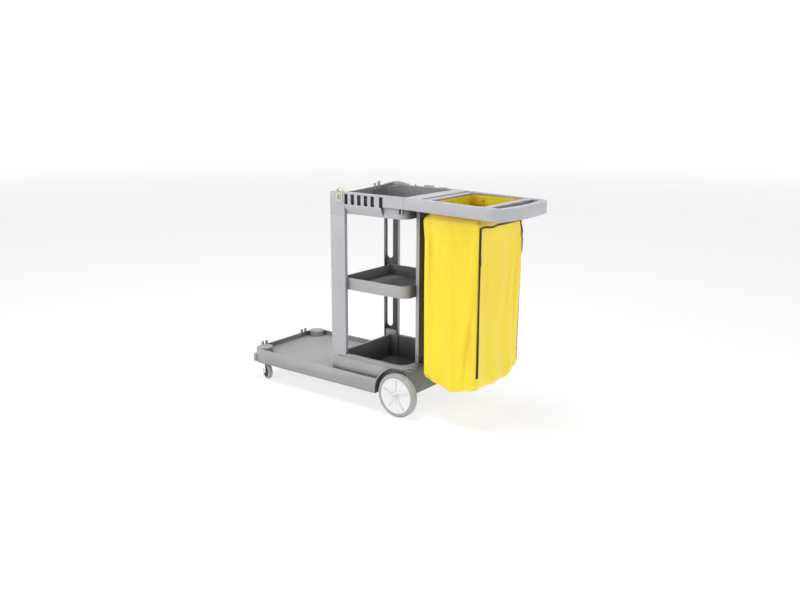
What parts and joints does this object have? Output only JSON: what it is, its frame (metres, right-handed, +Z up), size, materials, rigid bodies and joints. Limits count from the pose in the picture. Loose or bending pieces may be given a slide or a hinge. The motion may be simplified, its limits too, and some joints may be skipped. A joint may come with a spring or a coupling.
{
  "type": "housekeeping cart",
  "caption": "Moulded cleaning cart with a low front platform, deep bin, open trays, slotted tool rails, and a yellow vinyl bag hung in a frame that ends in a push handle.",
  "frame": {"origin": "on the floor, under the centre of the cart's overall length and width", "axes": "+X towards the push handle, +Y towards the right of a person who pushes, +Z up"},
  "size_m": [1.4151, 0.498, 1],
  "materials": {
    "grey_plastic": "fine moulded grain",
    "bumper_plastic": "fine moulded grain",
    "clip_plastic": "translucent, smooth",
    "yellow_vinyl": "soft coated cloth with a slight shine",
    "black_tape": "woven tape",
    "black_metal": "painted, semi-gloss",
    "steel": "drawn rod",
    "zinc": "bright zinc plate",
    "white_plastic": "smooth",
    "black_plastic": "smooth",
    "grey_tyre": "non-marking rubber"
  },
  "bodies": {
    "cart": {"base_moulding": "grey_plastic", "corner_bumper_left": "bumper_plastic", "corner_bumper_right": "bumper_plastic", "lower_bin": "grey_plastic", "upright_front_left": "grey_plastic", "upright_front_right": "grey_plastic", "upright_rear_left": "grey_plastic", "upright_rear_right": "grey_plastic", "mid_tray": "grey_plastic", "top_tray": "grey_plastic", "tool_rail_left": "grey_plastic", "tool_rail_right": "grey_plastic", "tool_clip": "clip_plastic", "bag_frame": "grey_plastic", "bag_hooks": "grey_plastic", "bag": "yellow_vinyl", "zip_track": "black_tape", "flap_binding": "black_tape", "rear_axle": "steel", "axle_washers": "steel", "axle_nuts": "steel", "caster_stem_left": "zinc", "caster_stem_right": "zinc"},
    "zip": {"zip_slider": "black_metal", "zip_pull": "black_metal"},
    "wheel_left": {"wheel_rim_left": "white_plastic", "wheel_tyre_left": "grey_tyre"},
    "wheel_right": {"wheel_rim_right": "white_plastic", "wheel_tyre_right": "grey_tyre"},
    "caster_left": {"caster_fork_left": "zinc", "caster_bolt_left": "zinc"},
    "caster_wheel_left": {"caster_core_left": "black_plastic", "caster_tyre_left": "grey_tyre"},
    "caster_right": {"caster_fork_right": "zinc", "caster_bolt_right": "zinc"},
    "caster_wheel_right": {"caster_core_right": "black_plastic", "caster_tyre_right": "grey_tyre"}
  },
  "joints": [
    {"name": "zip_slide", "type": "slide", "parent": "cart", "child": "zip", "axis": [0, 0, -1], "range_m": [-0.1, 0.5]},
    {"name": "wheel_left_spin", "type": "hinge", "parent": "cart", "child": "wheel_left", "pos_m": [0.198, -0.223, 0.1], "axis": [0, 1, 0], "continuous": true},
    {"name": "wheel_right_spin", "type": "hinge", "parent": "cart", "child": "wheel_right", "pos_m": [0.198, 0.223, 0.1], "axis": [0, 1, 0], "continuous": true},
    {"name": "caster_left_swivel", "type": "hinge", "parent": "cart", "child": "caster_left", "pos_m": [-0.66, -0.192, 0.0805], "axis": [0, 0, 1], "continuous": true},
    {"name": "caster_right_swivel", "type": "hinge", "parent": "cart", "child": "caster_right", "pos_m": [-0.66, 0.192, 0.0805], "axis": [0, 0, 1], "continuous": true},
    {"name": "caster_left_spin", "type": "hinge", "parent": "caster_left", "child": "caster_wheel_left", "pos_m": [-0.63745, -0.20021, 0.0375], "axis": [0.342, 0.9397, 0], "continuous": true},
    {"name": "caster_right_spin", "type": "hinge", "parent": "caster_right", "child": "caster_wheel_right", "pos_m": [-0.63671, 0.19781, 0.0375], "axis": [-0.2419, 0.9703, 0], "continuous": true}
  ]
}
